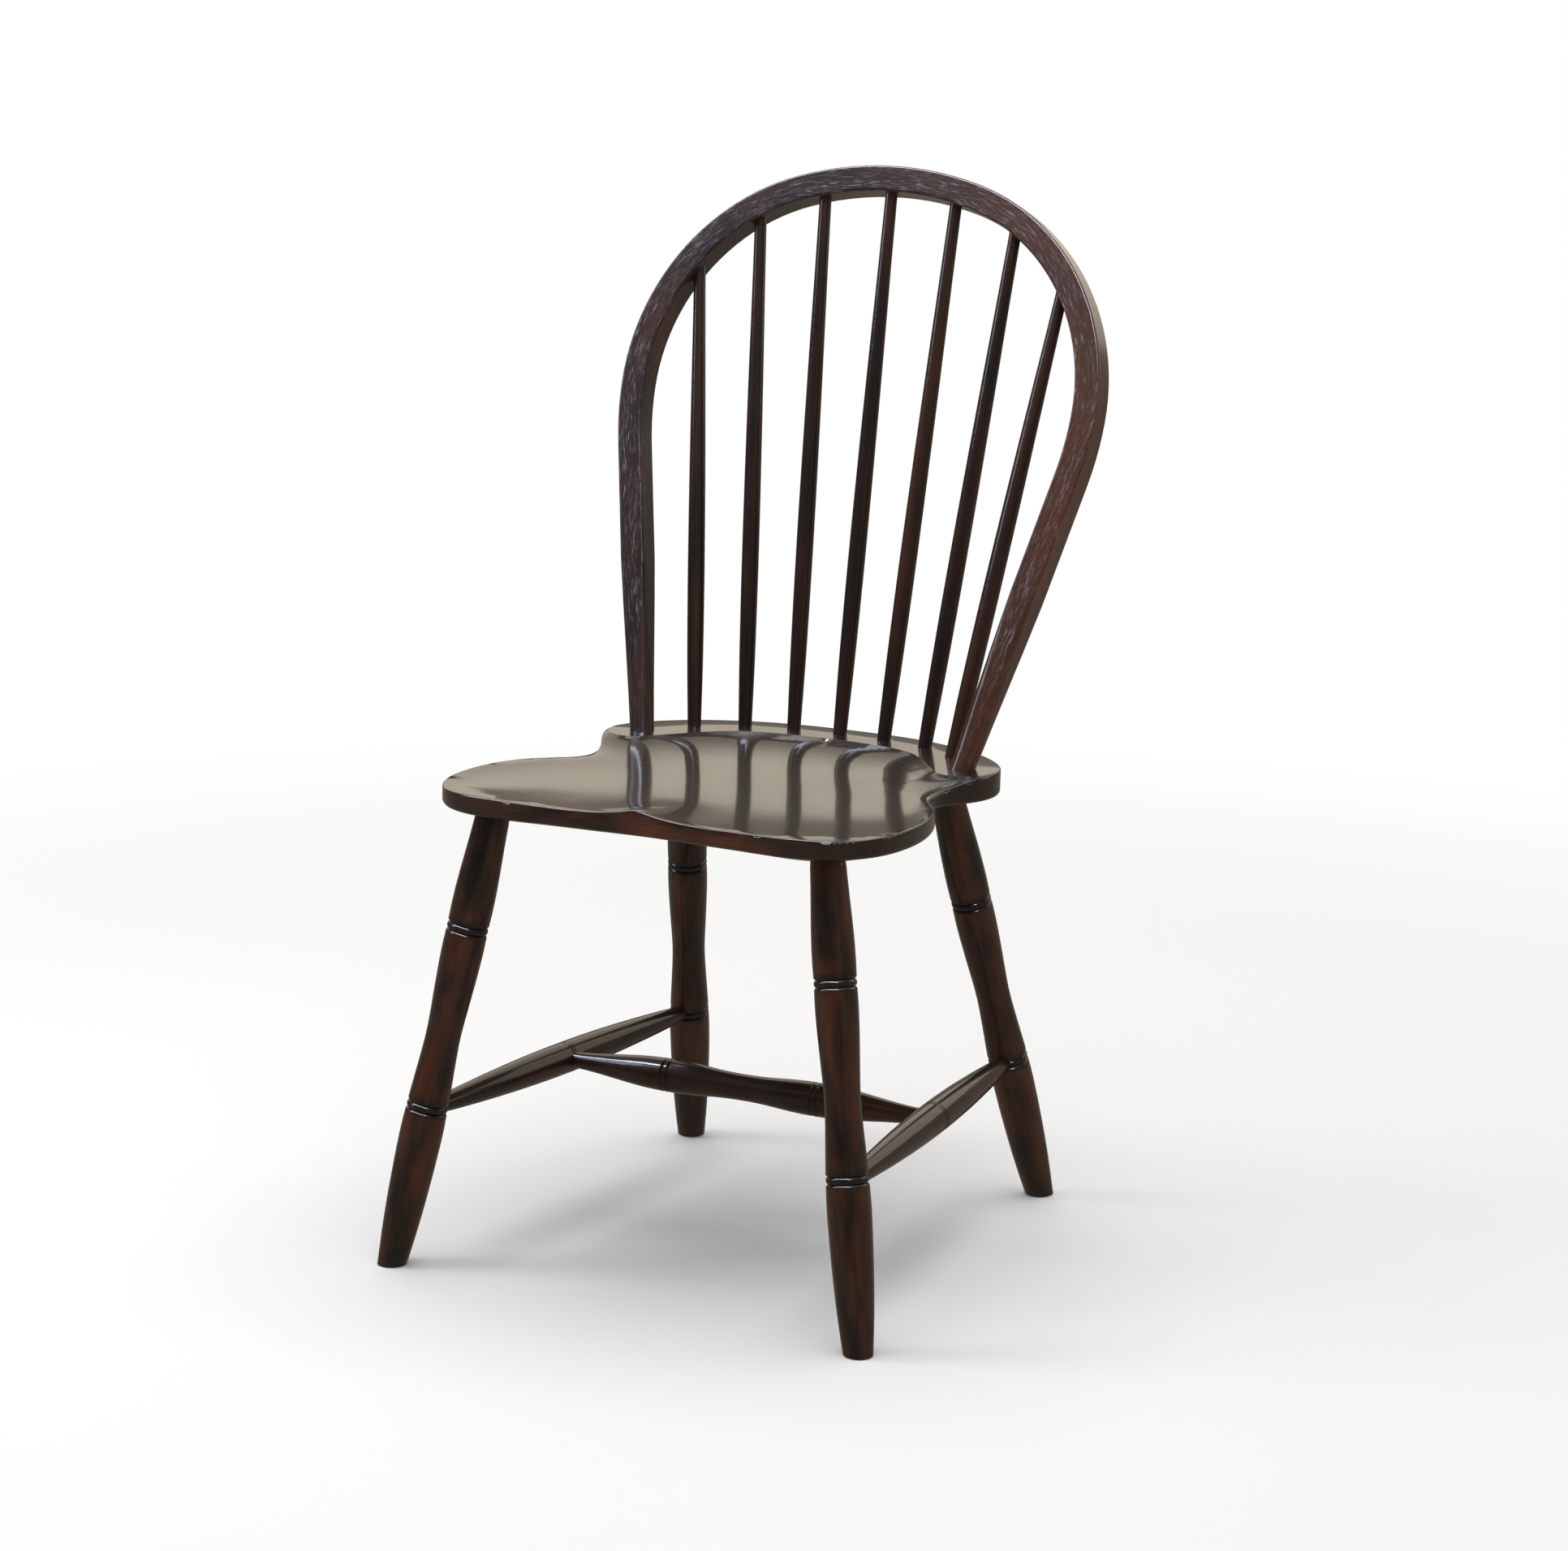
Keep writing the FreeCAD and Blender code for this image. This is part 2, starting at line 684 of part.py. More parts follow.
def cross_stretcher(left, right):
    half = (right - left).Length / 2
    surface = half - side_belly_diameter / 2
    half_rings = (cross_groove_pitch + cross_groove_width) / 2
    inner_end, outer_start = cross_ring_place - half_rings, cross_ring_place + half_rings
    belly, waist = cross_belly_diameter, cross_middle_diameter
    rows = [(inner_end * along, waist + (belly - waist) * part) for along, part in cross_middle_shape]
    inner = profile_spline([(-d, w) for d, w in rows[:0:-1]] + rows)
    tip = cross_tip_diameter
    run = surface - outer_start
    outer = [(outer_start + run * along, tip + (belly - tip) * part) for along, part in cross_tip_shape]
    right_tip = profile_spline(outer)
    left_tip = profile_spline([(-d, w) for d, w in outer[::-1]])
    end = surface + cross_tenon
    sizes = (cross_groove_width, cross_groove_depth, cross_groove_pitch, belly)
    edges = [profile_line((-end, tip), (-surface, tip)), left_tip]
    edges += double_groove(-cross_ring_place, *sizes) + [inner] + double_groove(cross_ring_place, *sizes)
    edges += [right_tip, profile_line((surface, tip), (end, tip))]
    return turned(edges, (left + right) / 2, right - left)


def cross_sockets(left, right):
    along = (right - left).normalize()
    inset = side_belly_diameter / 2 - cross_tenon - end_gap
    bore = cross_tip_diameter + 2 * glue_gap
    left_tool = round_tool(left + along * inset, along, tool_reach, bore)
    right_tool = round_tool(right - along * inset, along * -1, tool_reach, bore)
    return left_tool, right_tool


# Assembly

def chair():
    legs = leg_axes()
    spindles = spindle_axes()
    seat_tools = bow_sockets()
    bow_tools = []
    leg_tools = {name: [] for name in legs}
    nodes = {}

    for number, (foot, top) in enumerate(spindles, 1):
        nodes[f"spindle_{number}"] = spindle(foot, top)
        low, high = spindle_sockets(foot, top)
        seat_tools.append(low)
        bow_tools.append(high)

    sides = {}
    for word in ("left", "right"):
        front = stretcher_place(*legs[f"front_{word}"])
        back = stretcher_place(*legs[f"back_{word}"])
        front_tool, back_tool = side_sockets(front, back)
        leg_tools[f"front_{word}"].append(front_tool)
        leg_tools[f"back_{word}"].append(back_tool)
        sides[word] = (front, back)

    middles = {word: (front + back) / 2 for word, (front, back) in sides.items()}
    nodes["cross_stretcher"] = cross_stretcher(middles["left"], middles["right"])
    for word, tool in zip(("left", "right"), cross_sockets(middles["left"], middles["right"])):
        nodes[f"side_stretcher_{word}"] = single(side_stretcher(*sides[word]).cut(tool))

    for name, (foot, mouth) in legs.items():
        seat_tools.append(leg_socket(foot, mouth))
        nodes[f"leg_{name}"] = single(leg(foot, mouth).cut(leg_tools[name]))

    half = half_board()
    board = half.fuse(mirrored(half)).removeSplitter()
    board.Placement = Place(on_chair(0, 0), Turn(V(1, 0, 0), -seat_tilt))
    nodes["seat"] = single(board.cut(seat_tools))
    nodes["bow"] = single(bow().cut(bow_tools))
    return nodes


def main():
    nodes = chair()
    box = FreeCAD.BoundBox()
    for shape in nodes.values():
        box.add(shape.optimalBoundingBox())
    middle = V(0, (box.YMin + box.YMax) / 2, 0)
    os.makedirs("parts", exist_ok=True)
    for name, shape in nodes.items():
        shape.translate(middle * -1)
        shape.exportStep(f"parts/{name}.step")
        print(name, "valid" if shape.isValid() else "NOT VALID", round(shape.Volume / 1000, 1), "cm3")
    size = (box.XLength, box.YLength, box.ZLength)
    print("moved forward by", round(middle.y, 3), "overall", [round(v, 1) for v in size])


main()
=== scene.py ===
# %% [markdown]
# # A hoop-backed chair in dark lacquered wood
# The chair's solid pieces come ready made, at their real size and in their real places, from the packed
# model. This lesson gives them their finish: stained wood under a thin clear lacquer, on a pale floor.
# Everything is in metres. X is across the chair, the sitter faces -Y, and Z is up from the floor.

# %% Load the chair
from math import atan2, cos, hypot, pi, radians, sin

import bmesh
import bpy
from mathutils import Matrix, Vector


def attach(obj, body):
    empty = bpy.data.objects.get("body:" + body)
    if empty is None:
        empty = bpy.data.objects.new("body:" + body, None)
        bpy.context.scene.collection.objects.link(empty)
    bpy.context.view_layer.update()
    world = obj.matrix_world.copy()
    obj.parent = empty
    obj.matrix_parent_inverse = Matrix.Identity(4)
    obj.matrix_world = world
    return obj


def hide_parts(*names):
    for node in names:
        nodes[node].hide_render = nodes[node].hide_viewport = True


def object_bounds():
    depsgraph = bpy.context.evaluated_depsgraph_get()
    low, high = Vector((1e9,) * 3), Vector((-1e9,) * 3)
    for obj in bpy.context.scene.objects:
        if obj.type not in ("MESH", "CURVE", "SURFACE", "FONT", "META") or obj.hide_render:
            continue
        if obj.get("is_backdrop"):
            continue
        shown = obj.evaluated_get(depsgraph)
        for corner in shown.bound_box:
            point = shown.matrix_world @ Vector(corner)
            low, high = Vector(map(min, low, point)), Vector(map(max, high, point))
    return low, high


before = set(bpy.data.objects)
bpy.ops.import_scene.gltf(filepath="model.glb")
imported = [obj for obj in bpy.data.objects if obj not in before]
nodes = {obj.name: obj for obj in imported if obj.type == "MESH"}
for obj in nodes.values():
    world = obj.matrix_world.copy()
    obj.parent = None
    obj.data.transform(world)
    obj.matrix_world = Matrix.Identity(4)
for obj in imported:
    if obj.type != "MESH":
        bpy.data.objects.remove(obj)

cad_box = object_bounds()
scene = bpy.context.scene
print("pieces:", ", ".join(sorted(nodes)))
print("overall size:", [round(v, 3) for v in cad_box[1] - cad_box[0]])

# %% [markdown]
# ## The camera
# A camera could be placed by eye, but then no line of the chair would meet the same line in the
# photograph. So its place, direction and lens were worked out, by fitting a symmetric chair of this size
# to points of the picture. The picture was cropped off centre, so the lens has a small shift. It stands
# nearly four metres away with a long lens, which keeps the legs from spreading, as in the picture.

# %% Camera
PICTURE_WIDTH, PICTURE_HEIGHT = 1932, 1911
SENSOR_MM = 36
FOCAL_PX = 5071.85
LENS_CENTRE_PX = (916.5, 914.5)
CAMERA_PLACE = Vector((1.7314, -3.3065, 1.2617))
CAMERA_YAW, CAMERA_PITCH, CAMERA_ROLL = radians(27.881), radians(11.970), radians(0.703)


def camera_turn(yaw, pitch, roll):
    """The camera's rotation: yaw to the right of the chair's front, pitch down, roll about its sight."""
    back = Vector((sin(yaw) * cos(pitch), -cos(yaw) * cos(pitch), sin(pitch)))
    right = Vector((0, 0, 1)).cross(back).normalized()
    up = back.cross(right)
    rolled_right = right * cos(roll) + up * sin(roll)
    rolled_up = up * cos(roll) - right * sin(roll)
    return Matrix((rolled_right, rolled_up, back)).transposed()


lens = bpy.data.cameras.new("camera")
lens.sensor_width = SENSOR_MM
lens.lens = FOCAL_PX * SENSOR_MM / PICTURE_WIDTH
lens.shift_x = (PICTURE_WIDTH / 2 - LENS_CENTRE_PX[0]) / PICTURE_WIDTH
lens.shift_y = (LENS_CENTRE_PX[1] - PICTURE_HEIGHT / 2) / PICTURE_WIDTH
camera = bpy.data.objects.new("camera", lens)
scene.collection.objects.link(camera)
turn = camera_turn(CAMERA_YAW, CAMERA_PITCH, CAMERA_ROLL)
camera.matrix_world = Matrix.Translation(CAMERA_PLACE) @ turn.to_4x4()
scene.camera = camera
print("lens", round(lens.lens, 2), "mm, shift", round(lens.shift_x, 4), round(lens.shift_y, 4))

# %% [markdown]
# ## Writing a material as sums
# A material is a graph of nodes. In the editor the nodes are joined by hand, but in a script a graph is
# hard to read. So one small class wraps an output of a node. Plus, minus, times and divide on it add the
# Math node that does it, and `node` adds any other kind. With that, a pattern reads like its formula.

# %% A socket that can be calculated with
class Value:
    """An output socket of a material's node tree."""

    def __init__(self, tree, socket):
        self.tree = tree
        self.socket = socket

    def node(self, kind, settings=None, sockets=None, output=0):
        """Adds a node, makes its settings, then fills its sockets with numbers, colours or values."""
        made = self.tree.nodes.new(kind)
        for name, setting in (settings or {}).items():
            setattr(made, name, setting)
        for name, value in (sockets or {}).items():
            if isinstance(value, Value):
                self.tree.links.new(value.socket, made.inputs[name])
            else:
                made.inputs[name].default_value = value
        return Value(self.tree, made.outputs[output])

    def math(self, operation, *others):
        """A Math node with this value first."""
        sockets = dict(enumerate((self, *others)))
        return self.node("ShaderNodeMath", {"operation": operation}, sockets)

    def __add__(self, other):
        return self.math("ADD", other)

    def __sub__(self, other):
        return self.math("SUBTRACT", other)

    def __mul__(self, other):
        return self.math("MULTIPLY", other)

    def __truediv__(self, other):
        return self.math("DIVIDE", other)

    def __rsub__(self, other):
        return self.node("ShaderNodeMath", {"operation": "SUBTRACT"}, {0: other, 1: self})

    def __rtruediv__(self, other):
        return self.node("ShaderNodeMath", {"operation": "DIVIDE"}, {0: other, 1: self})

    __radd__ = __add__
    __rmul__ = __mul__

    def smooth(self, low, high):
        """0 below low, 1 above high, and a soft step between; with low the larger, it falls instead."""
        settings = {"interpolation_type": "SMOOTHSTEP"}
        sockets = {"Value": self, "From Min": min(low, high), "From Max": max(low, high)}
        step = self.node("ShaderNodeMapRange", settings, sockets)
        return 1 - step if low > high else step

    def mix(self, low, high):
        """The colour between two colours that this value, from 0 to 1, picks."""
        settings = {"data_type": "RGBA", "clamp_factor": True}
        return self.node("ShaderNodeMix", settings, {0: self, 6: low, 7: high}, output=2)

    def parts(self):
        """The X, Y and Z of a vector."""
        made = self.node("ShaderNodeSeparateXYZ", None, {0: self})
        return [Value(self.tree, s) for s in made.socket.node.outputs]


print("a Value knows", ", ".join(name for name in vars(Value) if not name.startswith("_")))

# %% [markdown]
# ## Patterns in three dimensions
# A picture of wood could be wrapped round each piece, but it would show seams and the same knot twice.
# Noise that fills space needs no wrapping: a turned leg cuts through it as it cuts through real grain.

# %% A new material, and noise at a point
def new_material(name):
    """An empty material, its shader node, and its point in the object's own coordinates."""
    material = bpy.data.materials.new(name)
    material.use_nodes = True
    tree = material.node_tree
    shader = tree.nodes["Principled BSDF"]
    coordinates = tree.nodes.new("ShaderNodeTexCoord")
    return material, shader, Value(tree, coordinates.outputs["Object"])


def vector(x, y, z):
    """A vector from three values."""
    return x.node("ShaderNodeCombineXYZ", None, {0: x, 1: y, 2: z})


def noise(place, scale, detail=3.0, roughness=0.55, distortion=0.0):
    """Cloudy noise from 0 to 1, with scale lumps to the metre."""
    sockets = {"Vector": place, "Scale": scale, "Detail": detail}
    sockets |= {"Roughness": roughness, "Distortion": distortion}
    return place.node("ShaderNodeTexNoise", None, sockets)


def bump(height, distance):
    """The surface normal that a height from 0 to 1 gives, with its full height in metres."""
    sockets = {"Height": height, "Distance": distance, "Strength": 1.0}
    return height.node("ShaderNodeBump", None, sockets)


print("pattern helpers ready")

# %% [markdown]
# ## The finish
# The real finish is a nearly black stain, wiped on and sealed under a satin lacquer. Where the wood took
# less stain it glows red-brown, in clouds that follow the grain. One glossy layer would lose the depth
# of that, so the Principled shader does both: its base is the stained wood, rough and uneven, and its
# coat is the lacquer, smooth and even. The coat's refractive index is low, because a thin wiped film
# mirrors less than thick varnish. The seat's is higher, because it is polished.

# %% Colours and lacquer
STAIN_BLACK = (0.0065, 0.0047, 0.0036, 1)
STAIN_BROWN = (0.0130, 0.0080, 0.0054, 1)
STAIN_RED = (0.092, 0.0225, 0.0062, 1)
LACQUER_INDEX = 1.45
SEAT_LACQUER_INDEX = 1.56
LACQUER_ROUGHNESS = 0.10
WOOD_SPECULAR = 0.12


def lacquer(shader, colour, roughness, normal, coat_roughness=LACQUER_ROUGHNESS, index=LACQUER_INDEX):
    """Fills a shader with a stained base under a clear coat."""
    tree = colour.tree
    tree.links.new(colour.socket, shader.inputs["Base Color"])
    tree.links.new(roughness.socket, shader.inputs["Roughness"])
    tree.links.new(normal.socket, shader.inputs["Normal"])
    shader.inputs["Specular IOR Level"].default_value = WOOD_SPECULAR
    shader.inputs["Coat Weight"].default_value = 1.0
    shader.inputs["Coat Roughness"].default_value = coat_roughness
    shader.inputs["Coat IOR"].default_value = index


def dress(piece, material):
    """Gives a ready-made piece its material."""
    piece.data.materials.clear()
    piece.data.materials.append(material)


print("stain from", STAIN_BLACK[:3], "to", STAIN_RED[:3])

# %% [markdown]
# ## What grain is made of
# Three things show in this wood. Red clouds, where the stain took badly, are drawn out along the grain.
# The tree's yearly layers are rings about its pith, which lay outside the thin stick that was split off.
# Fine streaks are the wood's fibres. Each is one function here, of a point whose Z runs along the grain.

# %% Clouds, yearly layers and fibres
LEAST_CLOUD, FULL_CLOUD = 0.30, 0.80
YEAR_WAVER = 1.4
FIBRE_LENGTH, FIBRES_PER_METRE = 22, 900


def stained_clouds(place, stretch, cloud, seed):
    """How much red shows, from 0 to 1: soft clouds drawn out along the grain by stretch."""
    x, y, z = place.parts()
    drawn = vector(x + seed, y + seed, z / stretch + seed)
    large = noise(drawn, cloud, 2.0, 0.5)
    small = noise(drawn, cloud * 3.5, 3.0, 0.55, 0.3)
    return (large * 0.8 + small * 0.2).smooth(LEAST_CLOUD, FULL_CLOUD)


def year_lines(place, pith, spacing, seed):
    """The tree's yearly layers, from 0 to 1, as wavering rings about a pith off to one side."""
    x, y, z = place.parts()
    waver = noise(vector(x + seed, y, z / 14), 60, 2.0)
    across = (x - pith[0]).math("POWER", 2.0) + (y - pith[1]).math("POWER", 2.0)
    rings = across.math("SQRT") / spacing + waver * YEAR_WAVER
    return rings.math("FRACT").smooth(0.15, 0.9)


def fibres(place, seed):
    """Thin streaks along the grain, from 0 to 1."""
    x, y, z = place.parts()
    return noise(vector(x + seed, y, z / FIBRE_LENGTH), FIBRES_PER_METRE, 3.0, 0.65)


def dark_wood(streaks, years):
    """The colour between the red clouds: nearly black, and a little browner along fibres and layers."""
    return (streaks * 0.6 + years * 0.4).mix(STAIN_BLACK, STAIN_BROWN)


print("grain patterns ready")

# %% [markdown]
# ## A turned piece
# A leg or spindle is turned from a squared stick, so its grain runs along its axis, whichever way it
# leans. A Mapping node turns the chair's coordinates so that Z runs along the piece. Near the cut
# grooves of a leg the red fades, so the wood is darker there.

# %% Wood along an axis
TURNED_CLOUDS = 54
TURNED_YEAR = 0.0042
GROOVE_DARK_END, GROOVE_DARK_FULL = 0.011, 0.004
FIBRE_HEIGHT = 0.00012


def along_piece(place, foot, top):
    """The chair's coordinates turned so that Z runs from a piece's foot towards its top."""
    lean = (top - foot).to_track_quat("Z", "Y").to_euler()
    sockets = {"Vector": place, "Location": foot, "Rotation": lean}
    return place.node("ShaderNodeMapping", {"vector_type": "TEXTURE"}, sockets)


def darker_near_groove(red, distance, groove):
    """The red, faded near a groove, which lies at a distance along the piece."""
    near = (distance - groove).math("ABSOLUTE").smooth(GROOVE_DARK_END, GROOVE_DARK_FULL)
    return red * (1 - near * 0.85)


def turned_wood(name, foot, top, seed, redness, stretch, grooves=()):
    """Material for a turned piece between its two ends, with the places of its grooves."""
    material, shader, chair_place = new_material(name)
    place = along_piece(chair_place, foot, top)
    clouds = stained_clouds(place, stretch, TURNED_CLOUDS, seed)
    years = year_lines(place, (0.045 + 0.01 * sin(seed), 0.03), TURNED_YEAR, seed)
    streaks = fibres(place, seed)
    red = clouds * redness * (0.78 + streaks * 0.4) * (0.85 + years * 0.15)
    distance = place.parts()[2]
    for groove in grooves:
        red = darker_near_groove(red, distance, groove)
    colour = red.mix(dark_wood(streaks, years), STAIN_RED)
    roughness = 0.34 + streaks * 0.16 + clouds * 0.06
    lacquer(shader, colour, roughness, bump(streaks, FIBRE_HEIGHT))
    return material


print("turned wood ready")

# %% [markdown]
# ## Where each turned piece lies
# The grain needs each piece's axis. The axes could be copied from the drawings, but the ends of a piece
# lie near the middles of its first and last slices, so they are measured from the mesh instead. A first
# guess at the direction is enough, because each round of measuring betters it.

# %% Measure an axis
UP, ACROSS, BACK = Vector((0, 0, 1)), Vector((1, 0, 0)), Vector((0, 1, 0))
SLICE_SHARE = 0.02
ROUNDS = 3


def end_centre(piece, direction):
    """The middle of the slice at one end of a piece, the way that direction points."""
    heights = [v.co.dot(direction) for v in piece.data.vertices]
    limit = max(heights) - SLICE_SHARE * (max(heights) - min(heights))
    slice_points = [v.co for v, h in zip(piece.data.vertices, heights) if h >= limit]
    return sum(slice_points, Vector()) / len(slice_points)


def axis_ends(piece, direction):
    """Both ends of a long piece's axis, from a rough guess at its direction."""
    for _ in range(ROUNDS):
        low, high = end_centre(piece, -direction), end_centre(piece, direction)
        direction = (high - low).normalized()
    return low, high


print("a spindle's ends:", [[round(v, 3) for v in end] for end in axis_ends(nodes["spindle_4"], UP)])

# %% [markdown]
# ## Dress the turned pieces
# The legs are thick and show the most red. The spindles are thin and much darker, with long clouds, and
# the stretchers lie between the two. Every piece gets a seed of its own, so that no two show one pattern.

# %% Legs, spindles and stretchers
LEG_GROOVES = (0.153, 0.324)
SEED_STEP = 3.7

for number, (name, piece) in enumerate(sorted(nodes.items())):
    seed = SEED_STEP * number
    if name.startswith("leg_"):
        low, high = axis_ends(piece, UP)
        material = turned_wood(name + "_wood", low, high, seed, 0.85, 3.5, LEG_GROOVES)
    elif name.startswith("spindle_"):
        low, high = axis_ends(piece, UP)
        material = turned_wood(name + "_wood", low, high, seed, 0.6, 9.0)
    elif "stretcher" in name:
        low, high = axis_ends(piece, ACROSS if name.startswith("cross") else BACK)
        material = turned_wood(name + "_wood", low, high, seed, 0.55, 5.0)
    else:
        continue
    dress(piece, material)
    print(name, "from", [round(v, 3) for v in low], "to", [round(v, 3) for v in high])

# %% [markdown]
# ## The shape of the hoop
# The hoop is one straight stick, steamed and bent, so its grain bends with it. Its centre line is made
# of arcs: a wide one over the crown, a tighter one round each shoulder, and then a nearly straight leg.
# These are the drawing's own sizes, measured across and up the slope of the leaning back.

# %% The hoop's arcs
HOOP_FOOT = Vector((0.170, 0.0776, 0.450))
HOOP_LEAN = radians(19.13)
HOOP_RISE = 0.552
CROWN_RADIUS, CROWN_ANGLE = 0.3227, radians(16.6)
SHOULDER_RADIUS, SHOULDER_ANGLE = 0.2049, radians(91.3)

radius_change = CROWN_RADIUS - SHOULDER_RADIUS
crown_centre = (0, HOOP_RISE - CROWN_RADIUS)
shoulder_centre = (radius_change * sin(CROWN_ANGLE), crown_centre[1] + radius_change * cos(CROWN_ANGLE))
crown_length = CROWN_RADIUS * CROWN_ANGLE
shoulder_length = SHOULDER_RADIUS * (SHOULDER_ANGLE - CROWN_ANGLE)
leg_start_x = shoulder_centre[0] + SHOULDER_RADIUS * sin(SHOULDER_ANGLE)
leg_start_up = shoulder_centre[1] + SHOULDER_RADIUS * cos(SHOULDER_ANGLE)
leg_slope = atan2(leg_start_x - HOOP_FOOT.x, leg_start_up)
leg_length = hypot(leg_start_x - HOOP_FOOT.x, leg_start_up)
print("half the hoop, in metres:", round(crown_length + shoulder_length + leg_length, 3))

# %% [markdown]
# ## Coordinates that follow the hoop
# Grain on the chair's own coordinates would cut across the bend. So for any point, the shader finds the
# arc that it belongs to, and from that how far along the stick it lies and how far across.
# The pattern is then drawn on those numbers, as it was on the straight stick.

# %% Along, across and through the hoop
def turn_and_reach(side, up_slope, centre):
    """The angle from upright and the distance of a point, as seen from the centre of an arc."""
    dx, ds = side - centre[0], up_slope - centre[1]
    return dx.math("ARCTAN2", ds), (dx * dx + ds * ds).math("SQRT")


def hoop_place(chair_place):
    """How far a point lies along the hoop from its crown, across it and through it, in metres."""
    x, y, z = chair_place.parts()
    y, z = y - HOOP_FOOT.y, z - HOOP_FOOT.z
    up_slope = y * sin(HOOP_LEAN) + z * cos(HOOP_LEAN)
    through = y * cos(HOOP_LEAN) - z * sin(HOOP_LEAN)
    side = x.math("ABSOLUTE")
    crown_turn, crown_reach = turn_and_reach(side, up_slope, crown_centre)
    shoulder_turn, shoulder_reach = turn_and_reach(side, up_slope, shoulder_centre)
    run_x, run_up = side - leg_start_x, up_slope - leg_start_up
    leg_along = crown_length + shoulder_length - (run_up * cos(leg_slope) + run_x * sin(leg_slope))
    leg_across = run_x * cos(leg_slope) - run_up * sin(leg_slope)
    shoulder_along = crown_length + (shoulder_turn - CROWN_ANGLE) * SHOULDER_RADIUS
    on_shoulder = crown_turn.math("GREATER_THAN", CROWN_ANGLE)
    on_leg = shoulder_turn.math("GREATER_THAN", SHOULDER_ANGLE)

    def pick(on_crown, round_shoulder, down_leg):
        """The one of three values that belongs to the part of the hoop that the point is on."""
        upper = on_crown + on_shoulder * (round_shoulder - on_crown)
        return upper + on_leg * (down_leg - upper)

    along = pick(crown_turn * CROWN_RADIUS, shoulder_along, leg_along)
    across = pick(crown_reach - CROWN_RADIUS, shoulder_reach - SHOULDER_RADIUS, leg_across)
    return along * x.math("SIGN"), across, through


print("hoop coordinates ready")

# %% [markdown]
# ## Open pores in the hoop
# The hoop looks coarser than the legs. Its front and back faces show short pale dashes, which are the
# open pores of the wood; their pale grey is partly their own and partly a painted highlight, the light
# that the pore edges catch. Its right side is painted redder, which is painted light: the left side and
# the crown catch a lavender sheen that the right side misses. Dashes could be drawn one by one, but noise
# gives thousands at once: fine noise is cut off at a level, broken up by coarser noise, and gathered in
# the yearly layers. Pores dent the surface too, so they also drive its bump.

# %% Hoop finish
HOOP_BROWN = (0.0170, 0.0105, 0.0100, 1)
HOOP_RED = (0.095, 0.0290, 0.0105, 1)
# The pores' pale grey: partly their own colour, partly a painted highlight from the pore edges.
PORE_GREY_AND_GLINT = (0.300, 0.290, 0.350, 1)
HOOP_HALF_DEPTH = 0.0135
PORE_LENGTH, PORES_PER_METRE = 16, 1250
BREAK_LENGTH, BREAKS_PER_METRE = 8, 300
PORE_DEPTH = 0.00035


def pore_dashes(drift, through, cells, years):
    """Where pale dashes lie, from 0 to 1: in the yearly layers, and mostly on the front and back faces."""
    x, y, z = drift.parts()
    breaks = noise(vector(x, y, z / BREAK_LENGTH), BREAKS_PER_METRE, 2.0, 0.5)
    depth = through.math("ABSOLUTE")
    face = depth.smooth(HOOP_HALF_DEPTH - 0.0018, HOOP_HALF_DEPTH - 0.0004)
    layered = 0.45 + years.smooth(0.5, 0.9) * 0.55
    return cells.smooth(0.53, 0.62) * breaks.smooth(0.40, 0.54) * layered * (0.2 + face * 0.8)


def hoop_wood():
    """Material for the hoop: coarse wood on the hoop's own coordinates."""
    material, shader, chair_place = new_material("hoop_wood")
    along, across, through = hoop_place(chair_place)
    clouds = stained_clouds(vector(across, through, along), 4.0, 34, 1.3)
    wander = noise(vector(across * 0.4, through * 0.4, along / 3), 14, 1.0)
    drift = vector(across + along * 0.035 + wander * 0.02, through, along)
    years = year_lines(drift, (0.02, 0.055), 0.0058, 0.4)
    x, y, z = drift.parts()
    cells = noise(vector(x, y, z / PORE_LENGTH), PORES_PER_METRE, 2.0, 0.6)
    pores = pore_dashes(drift, through, cells, years)
    # Painted light: the right side is made redder, since the left side and crown catch a lavender sheen
    # that the right misses.
    painted_light_right_side = chair_place.parts()[0].smooth(-0.02, 0.20)
    warmth = clouds * 0.5 + years * 0.2 + painted_light_right_side * 0.45 - 0.10
    # The pores' pale grey mixed in here is partly a painted highlight.
    colour = (pores * 0.7).mix(warmth.mix(HOOP_BROWN, HOOP_RED), PORE_GREY_AND_GLINT)
    roughness = 0.36 + pores * 0.2 + cells * 0.08
    lacquer(shader, colour, roughness, bump(1 - pores, PORE_DEPTH), coat_roughness=0.16)
    return material


dress(nodes["bow"], hoop_wood())
print("hoop dressed, pores about", round(1000 * PORE_LENGTH / PORES_PER_METRE), "mm long")

# %% [markdown]
# ## The seat board
# The board's grain runs from side to side. The middle of its front edge shows red clouds in long
# patches, which fade towards both corners as painted shade, and its top is dark and polished, so that
# it mirrors the spindles and the pale room behind.
# A perfectly even top would mirror them as straight bars. On the real board they waver, because sanding
# by hand leaves it very slightly wavy, so a slow noise is added to the bump.

# %% Seat finish
FRONT_BAND_START, FRONT_BAND_FULL = -0.15, -0.235
HALF_FRONT = 0.19
SANDING_PER_METRE = 24
SANDING_DEPTH = 0.0005


